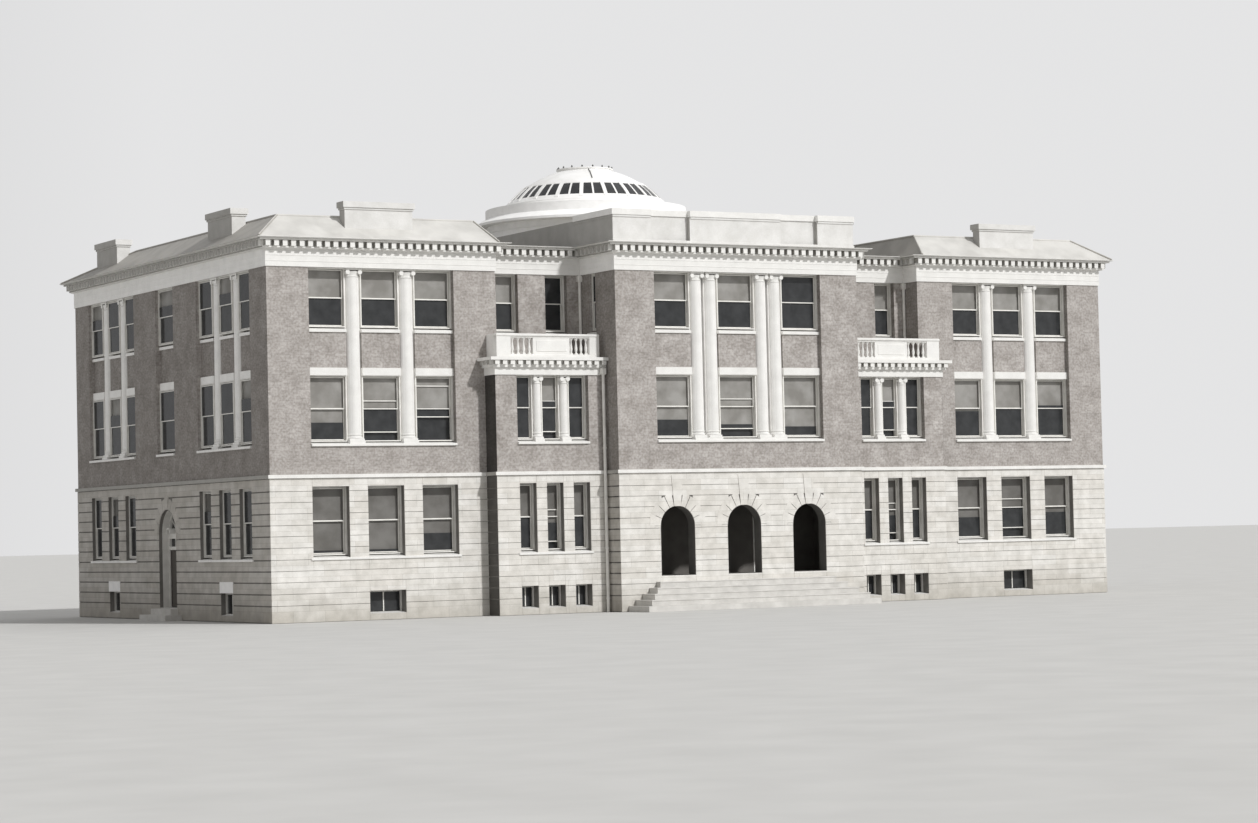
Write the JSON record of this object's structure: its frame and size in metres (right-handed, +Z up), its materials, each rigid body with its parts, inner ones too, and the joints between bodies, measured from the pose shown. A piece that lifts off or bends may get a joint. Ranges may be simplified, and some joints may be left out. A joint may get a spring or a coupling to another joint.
{
  "type": "school building",
  "caption": "Classical school building with a rusticated base, brick storeys, arched loggia, balconies, giant columns and a low roof dome",
  "frame": {"origin": "on the ground on the building's centre line, in the plane of the front faces of the two wings", "axes": "+X runs along the front to the right as seen from outside, +Y runs from the front to the rear, +Z up"},
  "size_m": [39.22, 24.62, 18.451],
  "materials": {
    "concrete": "cast concrete floor",
    "roof_felt": "gravelled felt roof",
    "base_stone": "rusticated light stone",
    "plaster": "painted plaster",
    "trim_stone": "smooth white stone",
    "brick": "face brick",
    "painted_wood": "painted white",
    "window_glass": "clear window glass",
    "roof_metal": "weathered sheet metal",
    "drum_render": "lime render",
    "door_wood": "dark varnish",
    "step_stone": "sawn stone",
    "pipe_metal": "white paint"
  },
  "bodies": {
    "building": {"attic_coping": "trim_stone", "attic_walls": "drum_render", "balconies": "trim_stone", "balustrades": "trim_stone", "base_block_walls": "base_stone", "base_flank_walls": "base_stone", "base_rear_wall": "base_stone", "base_side_walls": "base_stone", "base_wing_walls": "base_stone", "basement_floor": "concrete", "belt_course": "trim_stone", "block_columns": "trim_stone", "brick_spandrels": "brick", "cornice": "trim_stone", "dome_crown": "roof_metal", "dome_drum": "drum_render", "dome_shell": "roof_metal", "downpipes": "pipe_metal", "frieze": "trim_stone", "front_steps": "step_stone", "giant_columns": "trim_stone", "ground_floor": "concrete", "loggia_arches": "base_stone", "loggia_doors": "door_wood", "loggia_inner_walls": "plaster", "loggia_piers": "base_stone", "loggia_plinth": "base_stone", "lower_glass": "window_glass", "lower_sashes": "painted_wood", "monitor_roof": "concrete", "monitor_walls": "drum_render", "paired_columns": "trim_stone", "recessed_walls": "brick", "right_door_leaves": "door_wood", "roof_deck": "roof_felt", "second_floor": "concrete", "second_glass": "window_glass", "second_sashes": "painted_wood", "side_door_arches": "base_stone", "side_door_frames": "painted_wood", "side_steps": "step_stone", "skylight_glass": "window_glass", "stacks": "drum_render", "third_floor": "concrete", "third_glass": "window_glass", "third_sashes": "painted_wood", "upper_block_walls": "brick", "upper_flank_walls": "brick", "upper_front_piers": "brick", "upper_rear_wall": "brick", "upper_side_piers": "brick", "window_aprons": "brick", "window_lintels": "trim_stone", "window_sills": "trim_stone", "wing_roofs": "roof_metal"},
    "front_leaf": {"left_door_front_leaf": "door_wood"},
    "rear_leaf": {"left_door_rear_leaf": "door_wood"}
  },
  "joints": [
    {"name": "front_leaf_hinge", "type": "hinge", "parent": "building", "child": "front_leaf", "pos_m": [-18.398, 9.494, 0.48], "axis": [0, 0, -1], "range_deg": [0, 90]},
    {"name": "rear_leaf_hinge", "type": "hinge", "parent": "building", "child": "rear_leaf", "pos_m": [-18.398, 11.226, 0.48], "axis": [0, 0, 1], "range_deg": [0, 90]}
  ]
}
